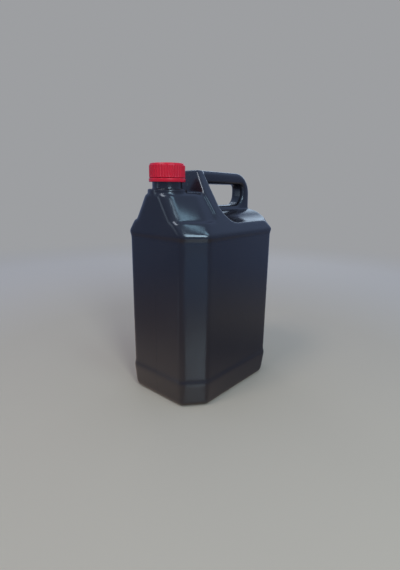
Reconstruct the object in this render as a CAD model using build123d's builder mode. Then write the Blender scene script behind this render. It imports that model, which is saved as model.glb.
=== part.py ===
from build123d import *
from math import cos, radians, sin
import os

os.makedirs("parts", exist_ok=True)

# Body: a blown polyethylene bottle, oblong with four cut corners
body_length = 181
body_width = 131
shoulder_height = 213.5
wall = 1.3
hollow_flat_share = 0.32
corner_cut_length = 25.5
corner_cut_width = 21
corner_radius = 6

# Foot, base band and the label panels that sit back between band and shoulder
foot_inset = 2.4
foot_radius = 5
foot_turns = [0, 45, 90]
band_height = 37
panel_depth = 1.2
panel_slope_height = 5
rim_height = 2

# Roof: both long sides lean in from the shoulder to this width at the neck's deck
roof_top_width = 65.4
ledge_rise = 13.8
ledge_cut_length = 32
ledge_cut_width = 19
ledge_nose_radius = 15
ledge_side_radius = 20
ridge_rise = 13.7
ridge_cut_length = 36
ridge_cut_width = 18

# Tower under the neck, set back from the roof faces around it
tower_rise = 29.7
tower_length = 64.5
tower_setback = 3.2
tower_cut_width = 19.5
deck_cut_length = 40.5
deck_cut_width = 10.5
deck_nose_radius = 17
rim_drop = 0.8
crown_rise = 2
crown_front_step = 1.2
crown_side_step = 4.5

# Web: the thick post in front of the handle, its sides flush with the roof. Its points
# are set back from the front wall
web_foot_setback = 42.5
web_brow_setback = 54
web_top_setback = 64
web_top_length = 11
web_heel_setback = 69.5
web_toe_radius = 9.5
web_heel_radius = 20
web_edge_radius = 2

# Handle: a hollow loop of the same wall, open for the fingers
handle_rise = 29.5
handle_width = 23
handle_end_gap = 2.5
handle_foot_gap = 0.3
handle_corner_radius = 29
handle_edge_radius = 5.6
handle_fall = 1.2
handle_setback = 3.5
bar_thickness = 16.5
post_thickness = 15.5
grip_floor_rise = 6
grip_corner_radius = 7
grip_heel_radius = 14

# Rear deck: falls away from the handle's foot to the roof edge
deck_line_rise = 10.8
scoop_rise = 12.2
scoop_start_share = 0.12
scoop_end_share = 0.94

# Neck finish: a collar on the deck, the barrel, and the bead that holds the tamper band
neck_setback = 23.3
collar_radius = 23.1
collar_height = 6.5
collar_edge_drop = 1
collar_edge_width = 1.6
neck_radius = 17.6
neck_wall = 2
neck_height = 32.2
bead_radius = 18.7
bead_height = 1.4

# Cap with its grip ribs
cap_radius = 21
cap_height = 16.1
cap_top_thickness = 1.8
cap_skirt_thickness = 1.2
cap_edge_width = 1.5
cap_edge_height = 2.6
rib_count = 40
rib_depth = 0.6
rib_width = 1.5

# Liner pressed between cap and neck, and the tamper band that hangs from the bead
liner_thickness = 1
liner_clearance = 0.4
tamper_height = 3.4
tamper_flare = 1
tamper_gap = 0.5
tamper_wall = 1.6
tamper_clearance = 0.35
tamper_lip_height = 1
bridge_count = 12
bridge_width = 1.6
bridge_height = 0.3

half_length = body_length / 2
half_width = body_width / 2
ledge_height = shoulder_height + ledge_rise
ridge_height = ledge_height + ridge_rise
deck_height = ledge_height + tower_rise
handle_top = deck_height + handle_rise
lean_run = (body_width - roof_top_width) / (deck_height - shoulder_height) / 2
deck_line_height = shoulder_height + deck_line_rise
scoop_height = deck_line_height + scoop_rise
grip_floor = scoop_height + grip_floor_rise
tower_rear_x = tower_length - half_length
web_foot_x = web_foot_setback - half_length
web_brow_x = web_brow_setback - half_length
web_top_front_x = web_top_setback - half_length
web_top_rear_x = web_top_front_x + web_top_length
web_heel_x = web_heel_setback - half_length
handle_end_x = half_length - handle_end_gap
handle_foot_x = half_length - handle_foot_gap
neck_x = neck_setback - half_length
overrun = wall * 10
neck_top = deck_height + neck_height
cap_top = neck_top + liner_thickness + cap_top_thickness
cap_foot = cap_top - cap_height
cap_bore_radius = cap_radius - rib_depth - cap_skirt_thickness
tamper_radius = cap_radius + tamper_flare
tamper_top = cap_foot - tamper_gap


def roof_half_width(height):
    """Half the width between the two leaning roof faces at a height."""
    return half_width - (height - shoulder_height) * lean_run


def ease_corners(corners, radius, inset):
    """Rounds the corners outside. In the hollow they get flats, which stay within the arcs."""
    if inset:
        chamfer(corners, radius * hollow_flat_share)
    else:
        fillet(corners, radius)


def cut_corner_section(height, length, width, ring_sizes, inset):
    """An oblong with four cut corners and eased edges, at a height."""
    cut_length, cut_width, nose_radius, side_radius = ring_sizes
    with BuildSketch(Plane.XY.offset(height)) as section:
        with BuildLine():
            Polyline(
                (length, width - cut_width),
                (length - cut_length, width),
                (cut_length - length, width),
                (-length, width - cut_width),
                (-length, cut_width - width),
                (cut_length - length, -width),
                (length - cut_length, -width),
                (length, cut_width - width),
                close=True,
            )
        make_face()
        ease_corners(section.vertices().group_by(lambda v: abs(v.X))[-1], nose_radius, inset)
        ease_corners(section.vertices().group_by(lambda v: abs(v.Y))[-1], side_radius, inset)
    return section.sketch


def shell_levels(inset):
    """Height, half sizes and corner sizes at each step from foot to ridge."""
    panel_top = shoulder_height - rim_height - panel_slope_height
    ring = (corner_cut_length, corner_cut_width, corner_radius, corner_radius)
    ledge_ring = (ledge_cut_length, ledge_cut_width, ledge_nose_radius, ledge_side_radius)
    ridge_ring = (ridge_cut_length, ridge_cut_width, ledge_nose_radius, ledge_side_radius)
    top = ridge_height - inset
    levels = []
    for turn in foot_turns:
        rise = foot_radius * (1 - cos(radians(turn)))
        step = foot_inset + foot_radius * (1 - sin(radians(turn)))
        levels.append((rise + inset, step, half_width - step, ring))
    levels += [
        (band_height - panel_slope_height, 0, half_width, ring),
        (band_height, panel_depth, half_width - panel_depth, ring),
        (panel_top, panel_depth, half_width - panel_depth, ring),
        (panel_top + panel_slope_height, 0, half_width, ring),
        (shoulder_height, 0, half_width, ring),
        (ledge_height, 0, roof_half_width(ledge_height), ledge_ring),
        (top, 0, roof_half_width(top), ridge_ring),
    ]
    return [
        (height, half_length - step - inset, width - inset, ring_sizes, inset)
        for height, step, width, ring_sizes in levels
    ]


def shell_form(inset):
    """Foot, band, panels, shoulder and the first rise of the roof."""
    with BuildPart() as form:
        loft([cut_corner_section(*level) for level in shell_levels(inset)], ruled=True)
    return form.part


def tower_section(height, half_side, front_step, cut_length, cut_width, nose_radius, inset):
    """A D shape with a cut and rounded nose, from the front wall to inside the web."""
    front = half_length - front_step - inset
    side = half_side - tower_setback - inset
    with BuildSketch(Plane.XY.offset(height - inset)) as section:
        with BuildLine():
            Polyline(
                (tower_rear_x, side),
                (cut_length - front, side),
                (-front, side - cut_width),
                (-front, cut_width - side),
                (cut_length - front, -side),
                (tower_rear_x, -side),
                close=True,
            )
        make_face()
        ease_corners(section.vertices().group_by(Axis.X)[0], nose_radius, inset)
        side_corners = section.vertices().group_by(lambda v: abs(v.Y))[-1]
        ease_corners(side_corners.sort_by(Axis.X)[:2], ledge_side_radius, inset)
    return section.sketch


def tower_form(inset):
    """The hood under the neck: cut corners below, a round nose and a domed deck above."""
    deck_rim = deck_height - rim_drop
    rim_side = roof_half_width(deck_rim)
    levels = [
        (ledge_height, roof_half_width(ledge_height), 0, ledge_cut_length, tower_cut_width,
         ledge_nose_radius),
        (deck_rim, rim_side, 0, deck_cut_length, deck_cut_width, deck_nose_radius),
        (deck_height + crown_rise, rim_side - crown_side_step, crown_front_step,
         deck_cut_length, deck_cut_width, deck_nose_radius),
    ]
    with BuildPart() as form:
        loft([tower_section(*level, inset) for level in levels], ruled=True)
    return form.part


def web_form(inset):
    """The web between tower and handle, cut off by the two roof faces."""
    toe = (web_brow_x, ledge_height + web_toe_radius)
    heel = (web_heel_x, deck_line_height + web_heel_radius)
    foot_x = web_heel_x + web_heel_radius
    with BuildPart() as form:
        with BuildSketch(Plane.XZ):
            with BuildLine():
                Line((web_foot_x, shoulder_height), (web_foot_x, ledge_height))
                TangentArc((web_foot_x, ledge_height), toe, tangent=(1, 0))
                Polyline(
                    toe,
                    (web_brow_x, deck_height),
                    (web_top_front_x, handle_top),
                    (web_top_rear_x, handle_top),
                    heel,
                )
                TangentArc(heel, (foot_x, deck_line_height), tangent=(0, -1))
                Polyline(
                    (foot_x, deck_line_height),
                    (foot_x, shoulder_height),
                    (web_foot_x, shoulder_height),
                )
            make_face()
            if inset:
                offset(amount=-inset)
        extrude(amount=half_width, both=True)
        with BuildSketch(Plane.YZ):
            with BuildLine():
                Polyline(
                    (half_width - inset, shoulder_height),
                    (0, shoulder_height + (half_width - inset) / lean_run),
                    (inset - half_width, shoulder_height),
                    close=True,
                )
            make_face()
        extrude(amount=half_length, both=True, mode=Mode.INTERSECT)
        if not inset:
            brow = form.edges().filter_by(lambda e: e.center().Z > deck_height)
            fillet(brow.filter_by(lambda e: e.center().X < web_top_front_x), web_edge_radius)
    return form.part


def front_space(inset):
    """The room over the ledge, in front of the web."""
    far = -half_length - overrun
    toe = (web_brow_x, ledge_height + web_toe_radius)
    with BuildPart() as form:
        with BuildSketch(Plane.XZ):
            with BuildLine():
                Line((far, ledge_height), (web_foot_x, ledge_height))
                TangentArc((web_foot_x, ledge_height), toe, tangent=(1, 0))
                Polyline(toe, (web_brow_x, handle_top), (far, handle_top), (far, ledge_height))
            make_face()
            if inset:
                offset(amount=inset)
        extrude(amount=body_width, both=True)
    return form.part


def rear_space(inset):
    """The room over the rear deck, behind the web."""
    far = half_length + overrun
    top = handle_top + overrun
    edge = roof_half_width(deck_line_height)
    high, low = scoop_height - inset, deck_line_height - inset
    brink, toe = edge * scoop_start_share, edge * scoop_end_share
    heel = (web_heel_x, deck_line_height + web_heel_radius)
    foot = (web_heel_x + web_heel_radius, deck_line_height)
    with BuildPart() as form:
        with BuildSketch(Plane.XZ):
            with BuildLine():
                Polyline((web_top_rear_x, top), (web_top_rear_x, handle_top), heel)
                TangentArc(heel, foot, tangent=(0, -1))
                Polyline(foot, (far, deck_line_height), (far, top), (web_top_rear_x, top))
            make_face()
            if inset:
                offset(amount=inset)
        extrude(amount=body_width, both=True)
        with BuildSketch(Plane.YZ):
            with BuildLine():
                Line((0, high), (brink, high))
                fall = TangentArc((brink, high), ((brink + toe) / 2, (high + low) / 2), tangent=(1, 0))
                TangentArc(fall @ 1, (toe, low), tangent=fall % 1)
                Polyline((toe, low), (body_width, low), (body_width, top), (0, top), (0, high))
            make_face()
            mirror(about=Plane.YZ)
        extrude(amount=body_length, both=True, mode=Mode.INTERSECT)
    return form.part


def handle_form(inset):
    """The grip bar and rear post: one loop around the finger gap."""
    crown = (handle_end_x, handle_top - handle_fall)
    grip_right = handle_end_x - post_thickness
    grip_top = handle_top - bar_thickness
    with BuildPart() as form:
        with BuildSketch(Plane.XZ) as loop:
            with BuildLine():
                Polyline(
                    (web_brow_x + handle_setback, shoulder_height),
                    (web_brow_x + handle_setback, deck_height),
                    (web_top_front_x + handle_setback, handle_top),
                    crown,
                    (handle_foot_x, shoulder_height),
                    close=True,
                )
            make_face()
            fillet(loop.vertices().sort_by_distance(crown)[0], handle_corner_radius)
            with BuildSketch(mode=Mode.SUBTRACT) as grip:
                with BuildLine():
                    Polyline(
                        (web_heel_x, grip_floor),
                        (grip_right, grip_floor),
                        (grip_right, grip_top),
                        (web_top_rear_x, grip_top),
                        close=True,
                    )
                make_face()
                heel = grip.vertices().sort_by_distance((grip_right, grip_floor))[0]
                fillet(heel, grip_heel_radius)
                fillet(grip.vertices().sort_by_distance((grip_right, grip_top))[0], grip_corner_radius)
                fillet(grip.vertices().sort_by(Axis.X)[:2], grip_corner_radius)
            if inset:
                offset(amount=-inset)
        extrude(amount=handle_width / 2 - inset, both=True)
        rims = form.faces().filter_by(Plane.XZ).edges()
        rims = rims.filter_by(lambda e: e.center().Z > ledge_height)
        if inset:
            chamfer(rims, handle_edge_radius - inset)
        else:
            fillet(rims, handle_edge_radius)
    return form.part


def can_form(inset):
    """The can's outer form, or with an inset the hollow inside its wall."""
    with BuildPart() as form:
        add(shell_form(inset))
        add(web_form(inset))
        add(front_space(inset), mode=Mode.SUBTRACT)
        add(rear_space(inset), mode=Mode.SUBTRACT)
        add(tower_form(inset))
        add(handle_form(inset))
    return form.part


def neck_form():
    """Collar, barrel and the bead that keeps the tamper band down."""
    bead_foot = cap_foot + bead_height / 2
    with BuildPart() as form:
        with BuildSketch(Plane.XY.offset(deck_height - wall)):
            with Locations((neck_x, 0)):
                Circle(collar_radius)
        extrude(amount=wall + collar_height)
        chamfer(form.faces().sort_by(Axis.Z)[-1].edges(), collar_edge_drop, collar_edge_width)
        with BuildSketch(Plane.XY.offset(deck_height)):
            with Locations((neck_x, 0)):
                Circle(neck_radius)
        extrude(amount=neck_height)
        with BuildSketch(Plane.XY.offset(bead_foot)):
            with Locations((neck_x, 0)):
                Circle(bead_radius)
        extrude(amount=bead_height)
    return form.part


with BuildPart() as can_body:
    add(can_form(0))
    add(neck_form())
    add(can_form(wall), mode=Mode.SUBTRACT)
    with BuildSketch(Plane.XY.offset(neck_top)):
        with Locations((neck_x, 0)):
            Circle(neck_radius - neck_wall)
    extrude(amount=-neck_height - wall * 2, mode=Mode.SUBTRACT)

with BuildPart() as screw_cap:
    with BuildSketch(Plane.XY.offset(cap_foot)):
        with Locations((neck_x, 0)):
            Circle(cap_radius - rib_depth)
    extrude(amount=cap_height)
    chamfer(screw_cap.faces().sort_by(Axis.Z)[-1].edges(), cap_edge_height, cap_edge_width)
    with BuildSketch(Plane.XY.offset(cap_foot)):
        with Locations((neck_x, 0)):
            with PolarLocations(cap_radius - rib_depth, rib_count):
                Rectangle(rib_depth * 2, rib_width)
    extrude(amount=cap_height - cap_edge_height - rib_depth)
    with BuildSketch(Plane.XY.offset(cap_foot)):
        with Locations((neck_x, 0)):
            Circle(cap_bore_radius)
    extrude(amount=cap_height - cap_top_thickness, mode=Mode.SUBTRACT)

with BuildPart() as sealing_liner:
    with BuildSketch(Plane.XY.offset(neck_top)):
        with Locations((neck_x, 0)):
            Circle(cap_bore_radius - liner_clearance)
    extrude(amount=liner_thickness)

with BuildPart() as tamper_band:
    with BuildSketch(Plane.XY.offset(tamper_top)):
        with Locations((neck_x, 0)):
            Circle(tamper_radius)
            Circle(neck_radius + tamper_clearance, mode=Mode.SUBTRACT)
    extrude(amount=-tamper_lip_height)
    with BuildSketch(Plane.XY.offset(tamper_top)):
        with Locations((neck_x, 0)):
            Circle(tamper_radius)
            Circle(tamper_radius - tamper_wall, mode=Mode.SUBTRACT)
    extrude(amount=-tamper_height)
    with BuildSketch(Plane.XY.offset(tamper_top)):
        with Locations((neck_x, 0)):
            with PolarLocations(cap_radius - tamper_wall / 2, bridge_count):
                Rectangle(tamper_wall / 2, bridge_width)
    extrude(amount=bridge_height)

can_body.part.label = "can_body"
export_step(can_body.part, "parts/can_body.step")
screw_cap.part.label = "screw_cap"
export_step(screw_cap.part, "parts/screw_cap.step")
sealing_liner.part.label = "sealing_liner"
export_step(sealing_liner.part, "parts/sealing_liner.step")
tamper_band.part.label = "tamper_band"
export_step(tamper_band.part, "parts/tamper_band.step")
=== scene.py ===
import math

import bmesh
import bpy
import numpy as np
from mathutils import Matrix, Vector


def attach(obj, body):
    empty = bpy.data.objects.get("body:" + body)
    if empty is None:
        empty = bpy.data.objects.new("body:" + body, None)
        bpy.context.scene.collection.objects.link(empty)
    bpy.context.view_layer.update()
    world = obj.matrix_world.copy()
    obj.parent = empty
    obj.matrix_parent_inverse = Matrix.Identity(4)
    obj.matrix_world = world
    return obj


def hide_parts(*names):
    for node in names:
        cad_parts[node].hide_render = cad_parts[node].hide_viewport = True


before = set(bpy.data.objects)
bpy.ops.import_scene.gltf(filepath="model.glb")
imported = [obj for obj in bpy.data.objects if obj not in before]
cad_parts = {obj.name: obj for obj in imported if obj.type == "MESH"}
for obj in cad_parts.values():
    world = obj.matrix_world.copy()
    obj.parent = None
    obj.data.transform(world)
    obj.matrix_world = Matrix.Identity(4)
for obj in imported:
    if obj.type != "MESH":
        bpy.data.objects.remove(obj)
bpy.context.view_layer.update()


# Blown can: body, tower, web and hollow handle are one blown piece of black polyethylene,
# closed round a parison and cooled in the mould. The hot wall never fills a sharp corner,
# so each outside edge is softened here, and the hollow inside keeps the frame's own skin.
NET_STEP = 0.0016
NET_DEPTH = 8
NECK_X = -0.0672
COLLAR_REACH = 0.0255
COLLAR_FOOT = 0.2585
COLLAR_CUT = 0.2603
HOLLOW_CUT = 0.2570
NECK_SIDES = 120
THREAD_PITCH = 0.0045
THREAD_DEPTH = 0.0009


def connected_skin(start):
    """Every vertex that can be reached from start along edges."""
    seen = {start}
    front = [start]
    while front:
        for edge in front.pop().link_edges:
            for vert in edge.verts:
                if vert not in seen:
                    seen.add(vert)
                    front.append(vert)
    return seen


def skin_of_can(node, keep_outside):
    """The outside or the inside skin of the can, parted at the top ring of its neck."""
    work = bmesh.new()
    work.from_mesh(node.data)
    bmesh.ops.remove_doubles(work, verts=work.verts, dist=1e-6)
    lip = max(v.co.z for v in work.verts)
    ring = [f for f in work.faces if all(v.co.z > lip - 1e-5 for v in f.verts)]
    bmesh.ops.delete(work, geom=ring, context="FACES")
    outside = connected_skin(min(work.verts, key=lambda v: v.co.z))
    drop = [v for v in work.verts if (v in outside) != keep_outside]
    bmesh.ops.delete(work, geom=drop, context="VERTS")
    return work


def even_net(work):
    """A closed skin as an even net of small faces."""
    mesh = bpy.data.meshes.new("skin")
    work.to_mesh(mesh)
    skin = bpy.data.objects.new("skin", mesh)
    bpy.context.scene.collection.objects.link(skin)
    remesh = skin.modifiers.new("net", "REMESH")
    remesh.mode = "SHARP"
    remesh.octree_depth = NET_DEPTH
    remesh.scale = max(skin.dimensions) / NET_STEP / 2 ** NET_DEPTH
    net = bpy.data.meshes.new_from_object(skin.evaluated_get(bpy.context.evaluated_depsgraph_get()))
    bpy.data.objects.remove(skin)
    return net


def points_and_ends(mesh):
    """A mesh's points, and the two point numbers of each edge, as arrays."""
    points = np.empty(len(mesh.vertices) * 3)
    mesh.vertices.foreach_get("co", points)
    ends = np.empty(len(mesh.edges) * 2, dtype=np.int32)
    mesh.edges.foreach_get("vertices", ends)
    return points.reshape(-1, 3), ends.reshape(-1, 2)


def even_out(points, ends, rounds):
    """Takes the net's own small steps out by moving each point to and fro."""
    count = np.bincount(ends.ravel(), minlength=len(points))[:, None]
    for pull in [0.5, -0.52] * rounds:
        mean = np.zeros_like(points)
        for axis in range(3):
            mean[:, axis] = np.bincount(ends[:, 0], points[ends[:, 1], axis], len(points))
            mean[:, axis] += np.bincount(ends[:, 1], points[ends[:, 0], axis], len(points))
        points = points + pull * (mean / count - points)
    return points


def skin_weights(points, corners):
    """The area that each point stands for, and each edge's pull by its two facing corners."""
    area = np.zeros(len(points))
    pairs, weights = [], []
    for turn in range(3):
        tip, one, two = corners[:, turn], corners[:, turn - 2], corners[:, turn - 1]
        first, second = points[one] - points[tip], points[two] - points[tip]
        double = np.linalg.norm(np.cross(first, second), axis=1) + 1e-12
        area += np.bincount(tip, double / 6, len(points))
        pairs.append(np.stack([one, two], 1))
        weights.append(np.clip((first * second).sum(1) / double, 0.05, 4) / 2)
    return area, np.concatenate(pairs), np.concatenate(weights)


def settled(start, hold, pairs, weights):
    """One coordinate once each point is held at its start and pulled by its neighbours."""
    spread = hold + np.bincount(pairs[:, 0], weights, len(start))
    spread += np.bincount(pairs[:, 1], weights, len(start))

    def pulled(values):
        out = spread * values
        out -= np.bincount(pairs[:, 0], weights * values[pairs[:, 1]], len(values))
        return out - np.bincount(pairs[:, 1], weights * values[pairs[:, 0]], len(values))

    value = start.copy()
    rest = hold * value - pulled(value)
    step = rest / spread
    size = (rest * step).sum()
    for _ in range(40):
        drawn = pulled(step)
        share = size / (step * drawn).sum()
        value += share * step
        rest -= share * drawn
        ready = rest / spread
        new_size = (rest * ready).sum()
        if new_size < 1e-14:
            break
        step = ready + new_size / size * step
        size = new_size
    return value


def ease_edges(mesh, even_rounds, soft_rounds, reach_at):
    """Rounds the edges over a reach in metres, as heat spreads over a skin; flats stay flat."""
    points, ends = points_and_ends(mesh)
    points = even_out(points, ends, even_rounds)
    mesh.calc_loop_triangles()
    corners = np.empty(len(mesh.loop_triangles) * 3, dtype=np.int32)
    mesh.loop_triangles.foreach_get("vertices", corners)
    corners = corners.reshape(-1, 3)
    for _ in range(soft_rounds):
        area, pairs, weights = skin_weights(points, corners)
        hold = area / (reach_at(points) ** 2 / soft_rounds)
        points = np.stack([settled(points[:, axis], hold, pairs, weights) for axis in range(3)], 1)
    mesh.vertices.foreach_set("co", points.ravel())


def edge_reach(points):
    """Rounding in metres: widest round the foot's step, least on the deck and the collar."""
    heights = [0.010, 0.026, 0.050, 0.070, 0.195, 0.235, 0.245, 0.252]
    reaches = [0.0010, 0.0019, 0.0019, 0.0015, 0.0015, 0.0012, 0.0012, 0.0008]
    reach = np.interp(points[:, 2], heights, reaches)
    reach[points[:, 0] > NECK_X + COLLAR_REACH] = 0.0012
    away = np.hypot(points[:, 0] - NECK_X, points[:, 1])
    reach[(away < COLLAR_REACH) & (points[:, 2] > COLLAR_FOOT)] = 0.0006
    return reach


def near_neck(work, reach, low):
    """The points, edges and faces round the neck's axis, above a height."""
    verts = {v for v in work.verts if math.hypot(v.co.x - NECK_X, v.co.y) < reach and v.co.z > low}
    faces = {f for f in work.faces if all(v in verts for v in f.verts)}
    edges = {e for f in faces for e in f.edges}
    return list({v for f in faces for v in f.verts}) + list(edges) + list(faces)


def turned_rings(work, rows, count, shape=None, closed=False):
    """Rings of points round the neck's axis, one for each (radius, height), with faces between."""
    rings = []
    for radius, height in rows:
        ring = []
        for step in range(count):
            angle = math.tau * step / count
            reach = radius + (shape(radius, height, angle) if shape else 0)
            place = (NECK_X + reach * math.cos(angle), reach * math.sin(angle), height)
            ring.append(work.verts.new(place))
        rings.append(ring)
    for lower, upper in list(zip(rings, rings[1:])) + ([(rings[-1], rings[0])] if closed else []):
        for a, b in zip(range(count), list(range(1, count)) + [0]):
            work.faces.new((lower[a], lower[b], upper[b], upper[a]))
    return rings


def ring_edges(work, ring):
    """The edges between the points of one turned ring."""
    return [work.edges.get((a, b)) for a, b in zip(ring, ring[1:] + ring[:1])]


def thread_height(height, angle, start, end, crest, side):
    """A right-handed thread, from 0 to 1, that fades in at start and out at end."""
    turns = (height - start) / THREAD_PITCH - angle / math.tau - side
    off = abs(turns - round(turns)) * THREAD_PITCH
    flank = min(max((crest - off) / (crest * 0.45), 0), 1)
    fade = min(max(min(height - start, end - height) / 0.0012, 0), 1)
    return flank * fade


can_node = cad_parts["can_body"]
outside = skin_of_can(can_node, True)
bmesh.ops.holes_fill(outside, edges=[e for e in outside.edges if e.is_boundary])
bmesh.ops.triangulate(outside, faces=outside.faces)
can_mesh = even_net(outside)
ease_edges(can_mesh, 5, 3, edge_reach)

can_work = bmesh.new()
can_work.from_mesh(can_mesh)
seam_work = can_work.copy()
bmesh.ops.bisect_plane(
    can_work, geom=near_neck(can_work, COLLAR_REACH - 0.001, 0.2592), dist=1e-7,
    plane_co=(0, 0, COLLAR_CUT), plane_no=(0, 0, 1), clear_outer=True,
)
collar_hole = {e for e in can_work.edges if e.is_boundary}

hollow = skin_of_can(can_node, False)
bmesh.ops.bisect_plane(
    hollow, geom=near_neck(hollow, 0.0165, 0.2500), dist=1e-7,
    plane_co=(0, 0, HOLLOW_CUT), plane_no=(0, 0, 1), clear_outer=True,
)
hollow_mesh = bpy.data.meshes.new("hollow")
hollow.to_mesh(hollow_mesh)
can_work.from_mesh(hollow_mesh)
hollow_hole = {e for e in can_work.edges if e.is_boundary} - collar_hole

neck_rows = [(0.0231, 0.2608), (0.0231, 0.2621), (0.0230, 0.2625), (0.0227, 0.26275)]
neck_rows += [(0.0219, 0.26325), (0.0215, 0.26345), (0.0210, 0.2635), (0.0185, 0.2635)]
neck_rows += [(0.0179, 0.2637), (0.0177, 0.2641), (0.0176, 0.2648), (0.0176, 0.2672)]
neck_rows += [(0.0176, 0.2758), (0.0178, 0.2763)]
neck_rows += [(0.0185, 0.2766), (0.0187, 0.2769), (0.0187, 0.2777), (0.0185, 0.2780)]
neck_rows += [(0.0176, 0.2784 + 0.00035 * step) for step in range(28)]
neck_rows += [(0.0176, 0.2883), (0.0175, 0.2888), (0.0172, 0.2891), (0.0168, 0.2892)]
neck_rows += [(0.0162, 0.2892), (0.0158, 0.2891), (0.0156, 0.2887), (0.0156, 0.2800)]
neck_rows += [(0.0156, 0.2700), (0.0156, 0.2580)]


def neck_thread(radius, height, angle):
    """How far the thread stands out of the barrel under the neck's lip."""
    if radius < 0.0176 or not 0.2785 < height < 0.2878:
        return 0
    return THREAD_DEPTH * thread_height(height, angle, 0.2785, 0.2878, 0.0011, 0)


neck_rings = turned_rings(can_work, neck_rows, NECK_SIDES, neck_thread)
for hole, ring in ((collar_hole, neck_rings[0]), (hollow_hole, neck_rings[-1])):
    bmesh.ops.bridge_loops(can_work, edges=list(hole) + ring_edges(can_work, ring))
bmesh.ops.recalc_face_normals(can_work, faces=can_work.faces)
can_work.to_mesh(can_mesh)


def bend_of(mesh):
    """How far each point stands out of its neighbours, from 0 on a flat to 1 on a crisp edge."""
    points, ends = points_and_ends(mesh)
    normals = np.array([n.vector[:] for n in mesh.vertex_normals])
    away = points[ends[:, 0]] - points[ends[:, 1]]
    length = np.linalg.norm(away, axis=1) + 1e-9
    out = np.bincount(ends[:, 0], (away * normals[ends[:, 0]]).sum(1) / length, len(points))
    out -= np.bincount(ends[:, 1], (away * normals[ends[:, 1]]).sum(1) / length, len(points))
    return np.clip(out / np.bincount(ends.ravel(), minlength=len(points)) / 0.22, 0, 1)


def smooth_piece(name, mesh):
    """An object with smooth faces and the edge_rub values that its finish reads."""
    for face in mesh.polygons:
        face.use_smooth = True
    rub = mesh.attributes.new("edge_rub", "FLOAT", "POINT")
    rub.data.foreach_set("value", bend_of(mesh).astype(np.float32))
    piece = bpy.data.objects.new(name, mesh)
    bpy.context.scene.collection.objects.link(piece)
    return piece


can_shell = smooth_piece("can_shell", can_mesh)


def shader_group(name, inputs, outputs):
    """A new shader group of number sockets, and its two end nodes."""
    group = bpy.data.node_groups.new(name, "ShaderNodeTree")
    for label, value in inputs:
        socket = group.interface.new_socket(label, in_out="INPUT", socket_type="NodeSocketFloat")
        socket.default_value = value
    for label in outputs:
        group.interface.new_socket(label, in_out="OUTPUT", socket_type="NodeSocketFloat")
    return group, group.nodes.new("NodeGroupInput"), group.nodes.new("NodeGroupOutput")


def joined(tree, made, links):
    """Joins or sets each (input, source) of a node, and gives the node back."""
    for socket, source in links:
        if isinstance(source, bpy.types.NodeSocket):
            tree.links.new(source, made.inputs[socket])
        else:
            made.inputs[socket].default_value = source
    return made


def node(tree, kind, links=(), **settings):
    """A new shader node with its settings, joined to its sources."""
    made = tree.nodes.new("ShaderNode" + kind)
    for key, value in settings.items():
        setattr(made, key, value)
    return joined(tree, made, links)


def effect(tree, group, links=()):
    """A shader group placed in a material."""
    made = tree.nodes.new("ShaderNodeGroup")
    made.node_tree = group
    return joined(tree, made, links)


def noise(tree, place, scale, detail, roughness):
    """Cloudy values between 0 and 1."""
    made = node(tree, "TexNoise", [("Vector", place), ("Scale", scale), ("Detail", detail),
                                   ("Roughness", roughness)])
    return made.outputs["Fac"]


def moulded_grain():
    """Fine grain of a moulded skin: a height, and patches for an uneven gloss."""
    group, start, end = shader_group(
        "moulded_grain", [("Grain Scale", 900.0), ("Patch Scale", 28.0)], ["Height", "Patches"]
    )
    place = node(group, "TexCoord").outputs["Object"]
    fine = noise(group, place, start.outputs["Grain Scale"], 3.0, 0.6)
    patches = noise(group, place, start.outputs["Patch Scale"], 4.0, 0.55)
    joined(group, end, [("Height", fine), ("Patches", patches)])
    return group


def die_lines():
    """Faint upright lines that the die draws into the parison before it is blown."""
    group, start, end = shader_group("die_lines", [("Across", 260.0), ("Along", 5.0)], ["Lines"])
    place = node(group, "TexCoord").outputs["Object"]
    across, along = start.outputs["Across"], start.outputs["Along"]
    stretch = node(group, "CombineXYZ", [("X", across), ("Y", across), ("Z", along)])
    drawn = node(group, "VectorMath", [(0, place), (1, stretch.outputs[0])], operation="MULTIPLY")
    joined(group, end, [("Lines", noise(group, drawn.outputs[0], 1.0, 4.0, 0.65))])
    return group


def handling_rub():
    """Where hands and boxes rub: the mask follows crisp edges and breaks up in patches."""
    group, start, end = shader_group(
        "handling_rub", [("Edge", 0.0), ("Reach", 0.5), ("Scratch Scale", 150.0)], ["Mask"]
    )
    place = node(group, "TexCoord").outputs["Object"]
    broken = noise(group, place, start.outputs["Scratch Scale"], 5.0, 0.7)
    near = node(group, "MapRange", [("Value", start.outputs["Edge"]),
                                    ("From Min", start.outputs["Reach"]), ("From Max", 1.0)])
    torn = node(group, "MapRange", [("Value", broken), ("From Min", 0.42), ("From Max", 0.66)])
    both = node(group, "Math", [(0, near.outputs[0]), (1, torn.outputs[0])], operation="MULTIPLY")
    joined(group, end, [("Mask", both.outputs[0])])
    return group


def plastic(name):
    """A new material, its tree and its main shader."""
    material = bpy.data.materials.new(name)
    material.use_nodes = True
    return material, material.node_tree, material.node_tree.nodes["Principled BSDF"]


def blend(tree, share, first, second):
    """A colour between first and second."""
    made = node(tree, "Mix", data_type="RGBA")
    return joined(tree, made, [(0, share), (6, first), (7, second)]).outputs[2]


grain_group, line_group, rub_group = moulded_grain(), die_lines(), handling_rub()

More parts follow.
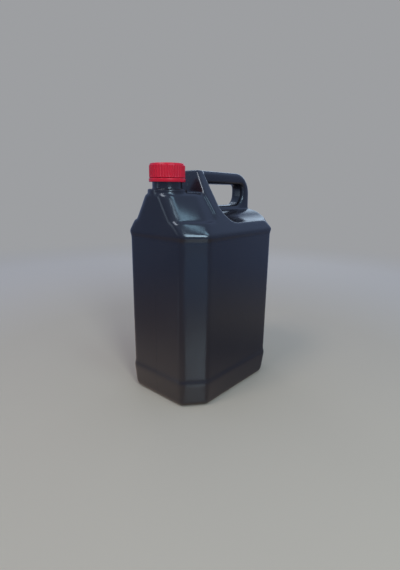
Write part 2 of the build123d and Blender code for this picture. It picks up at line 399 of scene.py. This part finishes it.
black, tree, shader = plastic("black_polyethylene")
grain = effect(tree, grain_group, [("Grain Scale", 1100.0), ("Patch Scale", 24.0)])
lines = effect(tree, line_group)
crisp = node(tree, "Attribute", attribute_name="edge_rub")
rub = effect(tree, rub_group, [("Edge", crisp.outputs["Fac"]), ("Reach", 0.35)])
tone = blend(tree, grain.outputs["Patches"], (0.0108, 0.0082, 0.0096, 1),
             (0.0144, 0.0112, 0.0124, 1))
worn = blend(tree, rub.outputs["Mask"], tone, (0.030, 0.028, 0.031, 1))
gloss = node(tree, "MapRange", [("Value", grain.outputs["Patches"]), ("From Min", 0.3),
                                ("From Max", 0.7), ("To Min", 0.17), ("To Max", 0.24)])
dulled = node(tree, "Math", [(0, rub.outputs["Mask"]), (1, 0.12), (2, gloss.outputs[0])],
              operation="MULTIPLY_ADD")
drawn = node(tree, "Bump", [("Strength", 0.5), ("Distance", 0.00012),
                            ("Height", lines.outputs["Lines"])])
grained = node(tree, "Bump", [("Strength", 0.2), ("Distance", 0.00002),
                              ("Height", grain.outputs["Height"]), ("Normal", drawn.outputs[0])])
joined(tree, shader, [("Base Color", worn), ("Roughness", dulled.outputs[0]),
                      ("Normal", grained.outputs[0]), ("IOR", 1.51)])
can_mesh.materials.append(black)
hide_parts("can_body")
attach(can_shell, "can")


# Parting line: where the two mould halves meet, the wall carries a fine raised line over
# the base, both end walls, the tower, the web and the handle, in the can's middle plane.
SEAM_RADIUS = 0.00011


def mould_seam(work):
    """The runs in which the plane between the mould halves cuts the outside, off the neck."""
    cut = bmesh.ops.bisect_plane(
        work, geom=list(work.verts) + list(work.edges) + list(work.faces), dist=1e-6,
        plane_co=(0, 0, 0), plane_no=(0, 1, 0),
    )
    edges = {e for e in cut["geom_cut"] if isinstance(e, bmesh.types.BMEdge)}
    edges = {e for e in edges if not all(on_neck(v.co) for v in e.verts)}
    runs = []
    while edges:
        edge = edges.pop()
        run = [edge.verts[0], edge.verts[1]]
        for end in (-1, 0):
            link = True
            while link:
                link = next((e for e in run[end].link_edges if e in edges), None)
                if link:
                    edges.discard(link)
                    far = link.other_vert(run[end])
                    run = run + [far] if end else [far] + run
        runs.append([v.co.copy() for v in run])
    return runs


def on_neck(place):
    """Whether a point belongs to the neck, whose mould leaves no line."""
    return math.hypot(place.x - NECK_X, place.y) < 0.0236 and place.z > 0.2598


seam_curve = bpy.data.curves.new("seam", "CURVE")
seam_curve.dimensions = "3D"
seam_curve.bevel_depth = SEAM_RADIUS
seam_curve.bevel_resolution = 1
seam_curve.use_fill_caps = True
for run in mould_seam(seam_work):
    if len(run) > 20:
        spline = seam_curve.splines.new("POLY")
        spline.points.add(len(run) - 1)
        for point, place in zip(spline.points, run):
            point.co = (place.x, place.y, max(place.z, SEAM_RADIUS), 1)
        spline.use_cyclic_u = (run[0] - run[-1]).length < 0.004
seam_object = bpy.data.objects.new("parting_line", seam_curve)
bpy.context.scene.collection.objects.link(seam_object)
seam_curve.materials.append(black)
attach(seam_object, "can")


# Tamper band: the red polypropylene ring that breaks off the cap at first opening. Its lip
# hangs under the neck's bead, and short bridges stand on its top edge where it hung on the cap.
band_rows = [(0.0203, 0.2712), (0.0209, 0.2712), (0.0213, 0.2714), (0.02145, 0.2718)]
band_rows += [(0.02145, 0.2744), (0.0214, 0.2748), (0.0212, 0.2752), (0.0208, 0.2754)]
band_rows += [(0.0184, 0.2754), (0.0180, 0.2752), (0.01795, 0.2750), (0.0180, 0.2746)]
band_rows += [(0.0184, 0.2744), (0.0196, 0.2743), (0.0200, 0.2741), (0.0200, 0.2715)]
band_rows += [(0.0201, 0.2713)]
BAND_SIDES = 240
BRIDGE_COUNT = 12
BRIDGE_SIZE = (0.0008, 0.0013, 0.0006)
BRIDGE_PLACE = (0.0202, 0, 0.27542)
BRIDGE_EASE = 0.00012
band_work = bmesh.new()
turned_rings(band_work, band_rows, BAND_SIDES, closed=True)
for bridge in range(BRIDGE_COUNT):
    angle = math.tau * bridge / BRIDGE_COUNT
    turn = Matrix.Translation((NECK_X, 0, 0)) @ Matrix.Rotation(angle, 4, "Z")
    stub = bmesh.ops.create_cube(
        band_work, size=1,
        matrix=turn @ Matrix.Translation(BRIDGE_PLACE) @ Matrix.Diagonal((*BRIDGE_SIZE, 1)),
    )
    stub_edges = list({e for v in stub["verts"] for e in v.link_edges})
    bmesh.ops.bevel(band_work, geom=stub_edges, offset=BRIDGE_EASE, segments=2, affect="EDGES")
bmesh.ops.recalc_face_normals(band_work, faces=band_work.faces)
band_mesh = bpy.data.meshes.new("band_ring")
band_work.to_mesh(band_mesh)
band_ring = smooth_piece("band_ring", band_mesh)

red, tree, shader = plastic("red_polypropylene")
grain = effect(tree, grain_group, [("Grain Scale", 2200.0), ("Patch Scale", 90.0)])
crisp = node(tree, "Attribute", attribute_name="edge_rub")
rub = effect(tree, rub_group, [("Edge", crisp.outputs["Fac"]), ("Reach", 0.3),
                               ("Scratch Scale", 420.0)])
tone = blend(tree, grain.outputs["Patches"], (0.56, 0.0100, 0.020, 1), (0.68, 0.0150, 0.030, 1))
worn = blend(tree, rub.outputs["Mask"], tone, (0.66, 0.030, 0.060, 1))
gloss = node(tree, "MapRange", [("Value", grain.outputs["Patches"]), ("From Min", 0.3),
                                ("From Max", 0.7), ("To Min", 0.27), ("To Max", 0.35)])
grained = node(tree, "Bump", [("Strength", 0.3), ("Distance", 0.00003),
                              ("Height", grain.outputs["Height"])])
joined(tree, shader, [("Base Color", worn), ("Roughness", gloss.outputs[0]),
                      ("Normal", grained.outputs[0]), ("IOR", 1.49),
                      ("Specular IOR Level", 0.2),
                      ("Subsurface Weight", 0.08), ("Subsurface Scale", 0.002)])
band_mesh.materials.append(red)
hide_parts("tamper_band")
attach(band_ring, "can")


# Sealing liner: a disc of white foamed polyethylene, pressed into the cap's top. It lies on
# the neck's rim and comes off with the cap.
white, tree, shader = plastic("white_foam")
grain = effect(tree, grain_group, [("Grain Scale", 1500.0), ("Patch Scale", 200.0)])
tone = blend(tree, grain.outputs["Patches"], (0.68, 0.67, 0.63, 1), (0.78, 0.77, 0.74, 1))
dimpled = node(tree, "Bump", [("Strength", 0.6), ("Distance", 0.0001),
                              ("Height", grain.outputs["Height"])])
joined(tree, shader, [("Base Color", tone), ("Roughness", 0.62), ("Normal", dimpled.outputs[0])])
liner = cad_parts["sealing_liner"]
liner.data.materials.clear()
liner.data.materials.append(white)


# Screw cap: injection-moulded red polypropylene with forty grip ribs, an eased top edge
# and a thread inside. It turns on the neck's thread and presses the liner on the rim.
RIB_COUNT = 40
RIB_DEPTH = 0.0006
CAP_SIDES = 320


def cap_relief(radius, height, angle):
    """Ribs on the outside of the skirt, and the thread inside its bore."""
    if 0.0191 < radius < 0.01925 and 0.2770 < height < 0.2885:
        return -THREAD_DEPTH * thread_height(height, angle, 0.2775, 0.2882, 0.0010, 0.5)
    if radius < 0.0207 or height < 0.2761:
        return 0
    rib = abs((angle / math.tau * RIB_COUNT) % 1 - 0.5) * 2
    valley = min(max((rib - 0.42) / 0.22, 0), 1)
    valley = valley * valley * (3 - 2 * valley)
    fade = min(max(min(height - 0.2764, 0.2896 - height) / 0.0006, 0), 1)
    return -RIB_DEPTH * valley * fade


cap_rows = [(0.0192, 0.2764), (0.0193, 0.2761), (0.0196, 0.27595), (0.0204, 0.27595)]
cap_rows += [(0.0207, 0.2760), (0.02095, 0.27625), (0.0210, 0.2765), (0.0210, 0.2769)]
cap_rows += [(0.0210, 0.2775), (0.0210, 0.2820), (0.0210, 0.2870), (0.0210, 0.2886)]
cap_rows += [(0.0210, 0.2888), (0.02095, 0.2891), (0.0207, 0.2896), (0.0204, 0.2902)]
cap_rows += [(0.0200, 0.2910), (0.0197, 0.2915), (0.0194, 0.2918), (0.0191, 0.29195)]
cap_rows += [(0.0187, 0.2920), (0.0160, 0.2920), (0.0100, 0.2920), (0.0030, 0.2920)]
cap_rows += [(0.0013, 0.2920), (0.0011, 0.2919), (0.0009, 0.2918), (0.0002, 0.2918)]
inner_rows = [(0.0002, 0.2902), (0.0100, 0.2902), (0.0186, 0.2902), (0.0191, 0.2901)]
inner_rows += [(0.0192, 0.2898), (0.0192, 0.2886)]
inner_rows += [(0.0192, 0.2883 - 0.00035 * step) for step in range(33)]
cap_work = bmesh.new()
turned_rings(cap_work, cap_rows + inner_rows, CAP_SIDES, cap_relief, closed=True)
bmesh.ops.recalc_face_normals(cap_work, faces=cap_work.faces)
cap_mesh = bpy.data.meshes.new("cap_shell")
cap_work.to_mesh(cap_mesh)
cap_shell = smooth_piece("cap_shell", cap_mesh)
cap_mesh.materials.append(red)
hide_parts("screw_cap")
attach(cap_shell, "cap")


# Floor and backdrop: one pale sheet of paper that runs out into the same tone all round.
# The camera sees it pale grey. Reflections in the can see painted light on it instead: a warm
# painted glow before the spout end, painted shade before the wide face, a painted cool strip of
# window light, and a glowing painted blue horizon beyond the run-out.
BACKDROP = (0.338, 0.345, 0.358, 1)
HORIZON = (0.22, 0.30, 0.52, 1)
floor_work = bmesh.new()
bmesh.ops.create_circle(floor_work, cap_ends=True, radius=9, segments=96)
floor_mesh = bpy.data.meshes.new("floor")
floor_work.to_mesh(floor_mesh)
floor = bpy.data.objects.new("floor", floor_mesh)
bpy.context.scene.collection.objects.link(floor)
paper, tree, shader = plastic("pale_paper")
place = node(tree, "TexCoord").outputs["Object"]
far = node(tree, "VectorMath", [(0, place)], operation="LENGTH")
run_out = node(tree, "MapRange", [("Value", far.outputs["Value"]), ("From Min", 0.5),
                                  ("From Max", 1.5)], interpolation_type="SMOOTHSTEP")
close = node(tree, "MapRange", [("Value", far.outputs["Value"]), ("From Min", 0.13),
                                ("From Max", 0.34)])
away = node(tree, "MapRange", [("Value", far.outputs["Value"]), ("From Min", 0.35),
                               ("From Max", 0.95)])
part = node(tree, "SeparateXYZ", [(0, place)])
across = node(tree, "Math", [(0, part.outputs["X"]), (1, part.outputs["Y"])],
              operation="SUBTRACT")
wide = node(tree, "MapRange", [("Value", across.outputs[0]), ("From Min", -0.10),
                               ("From Max", 0.25)])
aside = node(tree, "Math", [(0, part.outputs["Y"]), (1, -0.60), (2, part.outputs["X"])],
             operation="MULTIPLY_ADD")
off_strip = node(tree, "Math", [(0, aside.outputs[0])], operation="ABSOLUTE")
strip = node(tree, "MapRange", [("Value", off_strip.outputs[0]), ("From Min", 0.26),
                                ("From Max", 0.10)])
seen = node(tree, "LightPath").outputs["Is Camera Ray"]
# Reflections only: painted light and shade on the floor. A bright painted glow lies before the
# spout end and painted shade before the wide face, both blended out with distance.
painted_light_near = blend(tree, wide.outputs[0], (0.92, 0.58, 0.36, 1), (0.15, 0.105, 0.08, 1))
painted_light_far = blend(tree, wide.outputs[0], (0.46, 0.28, 0.19, 1), (0.42, 0.27, 0.16, 1))
painted_warm_light = blend(tree, close.outputs[0], painted_light_near, painted_light_far)
painted_floor_light = blend(tree, away.outputs[0], painted_warm_light, (0.23, 0.23, 0.30, 1))
# Reflections only: a painted cool strip of window light across the floor.
painted_window_mask = node(tree, "Math", [(0, away.outputs[0]), (1, strip.outputs[0])], operation="MULTIPLY")
painted_window_light = blend(tree, painted_window_mask.outputs[0], painted_floor_light, (0.30, 0.44, 0.64, 1))
# Seen by the camera: the floor colour is painted lighter further out, to make up for the lamps'
# light falling off there.
pale = blend(tree, away.outputs[0], (0.512, 0.374, 0.252, 1), (0.655, 0.505, 0.380, 1))
tone = blend(tree, seen, painted_window_light, pale)
# Beyond the run-out the floor glows. To the camera it is the even backdrop. In reflections it is a
# painted blue horizon, brighter in the painted window strip.
painted_horizon_glow = blend(tree, strip.outputs[0], HORIZON, (0.41, 0.59, 0.90, 1))
distant = blend(tree, seen, painted_horizon_glow, BACKDROP)
even = node(tree, "Emission", [("Color", distant), ("Strength", 1.0)])
sheet = node(tree, "MixShader", [(0, run_out.outputs[0]), (1, shader.outputs[0]),
                                 (2, even.outputs[0])])
dull = node(tree, "MapRange", [("Value", seen), ("To Min", 0.22), ("To Max", 0.9)])
joined(tree, shader, [("Base Color", tone), ("Roughness", dull.outputs[0])])
tree.links.new(sheet.outputs[0], tree.nodes["Material Output"].inputs["Surface"])
floor_mesh.materials.append(paper)


# Light: a cool even room, brighter overhead and dimmer beyond the can, with soft boxes round
# it. The tall one behind the camera stands for the window that lights the cut corner.
world = bpy.data.worlds.new("room")
bpy.context.scene.world = world
world.use_nodes = True
tree = world.node_tree
look = node(tree, "TexCoord").outputs["Generated"]
way = node(tree, "SeparateXYZ", [(0, look)])
rise = node(tree, "MapRange", [("Value", way.outputs["Z"]), ("From Min", 0.0), ("From Max", 0.7)])
air = blend(tree, rise.outputs[0], HORIZON, (0.35, 0.50, 0.84, 1))
beyond_can = node(tree, "VectorMath", [(0, look), (1, (0.72, 0.64, 0.26))],
                  operation="DOT_PRODUCT")
shade = node(tree, "MapRange", [("Value", beyond_can.outputs["Value"]), ("From Min", 0.70),
                                ("From Max", 0.96)])
air = blend(tree, shade.outputs[0], air, (0.12, 0.15, 0.28, 1))
room = node(tree, "Background", [("Color", air), ("Strength", 1.0)])
backdrop = node(tree, "Background", [("Color", BACKDROP), ("Strength", 1.0)])
seen = node(tree, "LightPath").outputs["Is Camera Ray"]
both = node(tree, "MixShader", [(0, seen), (1, room.outputs[0]), (2, backdrop.outputs[0])])
tree.links.new(both.outputs[0], tree.nodes["World Output"].inputs["Surface"])


CAN_MIDDLE = Vector((0, 0, 0.15))
LAMP_AWAY = 1.4


def soft_box(name, turn, rise, width, height, glow, colour):
    """A rectangular lamp that faces the can's middle. Turn counts from the wide face."""
    light = bpy.data.lights.new(name, "AREA")
    light.shape = "RECTANGLE"
    light.size, light.size_y = width, height
    light.energy = glow * math.pi * width * height
    light.color = colour
    lamp = bpy.data.objects.new(name, light)
    turn, rise = math.radians(turn), math.radians(rise)
    level = math.cos(rise)
    way = Vector((math.sin(turn) * level, -math.cos(turn) * level, math.sin(rise)))
    lamp.location = CAN_MIDDLE + LAMP_AWAY * way
    lamp.rotation_euler = (-way).to_track_quat("-Z", "Y").to_euler()
    lamp.visible_camera = False
    bpy.context.scene.collection.objects.link(lamp)


soft_box("behind_camera", -29, 28, 0.29, 0.80, 14, (0.60, 0.84, 1.0))
soft_box("wide_side", -4, 56, 0.24, 0.46, 7, (0.46, 0.78, 1.0))
soft_box("spout_side", -95, 58, 0.36, 0.45, 10, (0.82, 0.90, 1.0))
soft_box("far_left", -122, 10, 0.20, 0.40, 1.8, (0.66, 0.84, 1.0))
soft_box("far_right", 115, 20, 0.90, 0.50, 1.3, (0.66, 0.84, 1.0))
soft_box("behind_can", 152, 45, 0.40, 0.30, 3, (0.72, 0.86, 1.0))

bpy.context.scene.view_settings.view_transform = "Standard"


# Camera: the photograph's place and direction, worked out from the can's own edges. Focal
# length and middle are in pixels of the photograph's frame of 400 by 570.
FRAME_WIDTH, FRAME_HEIGHT = 400, 570
FOCAL_PIXELS = 370.316
MIDDLE_PIXELS = (196.634, 287.309)
camera_data = bpy.data.cameras.new("camera")
camera = bpy.data.objects.new("camera", camera_data)
bpy.context.scene.collection.objects.link(camera)
yaw, pitch, roll = 0.846058, -0.258178, 0.010148
ahead = Vector((math.sin(yaw) * math.cos(pitch), math.cos(yaw) * math.cos(pitch), math.sin(pitch)))
level = Vector((math.cos(yaw), -math.sin(yaw), 0))
upright = level.cross(ahead)
right = math.cos(roll) * level + math.sin(roll) * upright
up = math.cos(roll) * upright - math.sin(roll) * level
turn = Matrix((right, up, -ahead)).transposed().to_4x4()
camera.matrix_world = Matrix.Translation((-0.381408, -0.325880, 0.263164)) @ turn
camera_data.sensor_width = 36
camera_data.lens = camera_data.sensor_width * FOCAL_PIXELS / FRAME_HEIGHT
camera_data.shift_x = (FRAME_WIDTH / 2 - MIDDLE_PIXELS[0]) / FRAME_HEIGHT
camera_data.shift_y = (MIDDLE_PIXELS[1] - FRAME_HEIGHT / 2) / FRAME_HEIGHT
camera_data.clip_start = 0.01
bpy.context.scene.camera = camera
